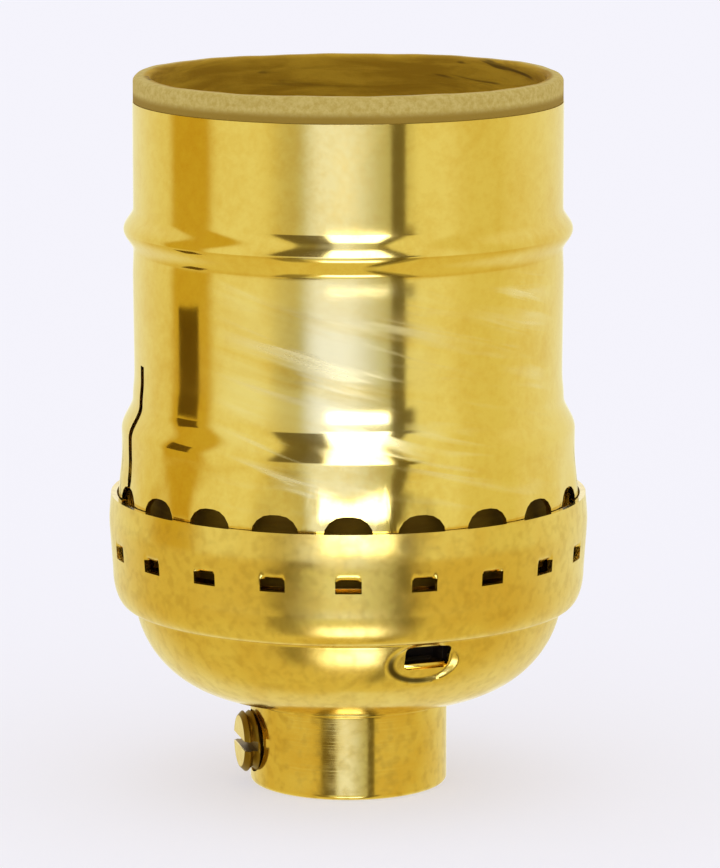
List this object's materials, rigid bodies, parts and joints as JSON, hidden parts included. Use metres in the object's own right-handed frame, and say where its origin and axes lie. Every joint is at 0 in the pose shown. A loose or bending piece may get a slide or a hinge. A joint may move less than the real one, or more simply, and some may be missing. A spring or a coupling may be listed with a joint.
{
  "type": "keyless lamp socket",
  "caption": "Keyless lamp socket: beaded brass shell snapped into a cap with a threaded hub, around an insulating sleeve and a moulded block that carries the screw shell and contacts.",
  "frame": {"origin": "centre of the hub's end face, where the lamp pipe enters", "axes": "+Z along the socket's axis towards the lamp, +X towards the hot terminal, -X towards the neutral terminal, -Y and +Y towards the cap's locking windows; the set screw is 9 degrees from -X"},
  "size_m": [0.0368, 0.0368, 0.0553],
  "materials": {
    "shell_brass": "polished and lacquered",
    "hub_brass": "turned and polished",
    "screw_brass": "turned",
    "fibre": "waxed fibre board",
    "moulding": "moulded phenolic",
    "disc_fibre": "vulcanised fibre",
    "screw_shell_brass": "rolled",
    "rivet_brass": "plain",
    "leaf_brass": "spring temper",
    "plate_brass": "plain",
    "neutral_steel": "nickel plated"
  },
  "bodies": {
    "base": {"cap": "shell_brass", "hub": "hub_brass", "insulator_body": "moulding", "fibre_disc": "disc_fibre", "screw_shell": "screw_shell_brass", "shell_rivets": "rivet_brass", "contact_rivet": "rivet_brass", "hot_terminal_plate": "plate_brass", "neutral_terminal_plate": "plate_brass"},
    "shell": {"outer_shell": "shell_brass", "insulating_sleeve": "fibre"},
    "set_screw": {"set_screw": "screw_brass"},
    "hot_terminal": {"hot_terminal_screw": "screw_brass"},
    "neutral_terminal": {"neutral_terminal_screw": "neutral_steel"},
    "contact": {"center_contact": "leaf_brass"}
  },
  "joints": [
    {"name": "shell_lift", "type": "slide", "parent": "base", "child": "shell", "axis": [0, 0, 1], "range_m": [0, 0.04]},
    {"name": "set_screw_travel", "type": "slide", "parent": "base", "child": "set_screw", "axis": [-0.9877, 0.1564, 0], "range_m": [-0.0009, 0.0022]},
    {"name": "hot_terminal_travel", "type": "slide", "parent": "base", "child": "hot_terminal", "axis": [1, 0, 0], "range_m": [0, 0.0022]},
    {"name": "neutral_terminal_travel", "type": "slide", "parent": "base", "child": "neutral_terminal", "axis": [-1, 0, 0], "range_m": [0, 0.0022]},
    {"name": "contact_press", "type": "hinge", "parent": "base", "child": "contact", "pos_m": [0.0042, 0, 0.0259], "axis": [0, -1, 0], "range_deg": [0, 6], "stiffness_Nm_per_rad": 0.3}
  ]
}
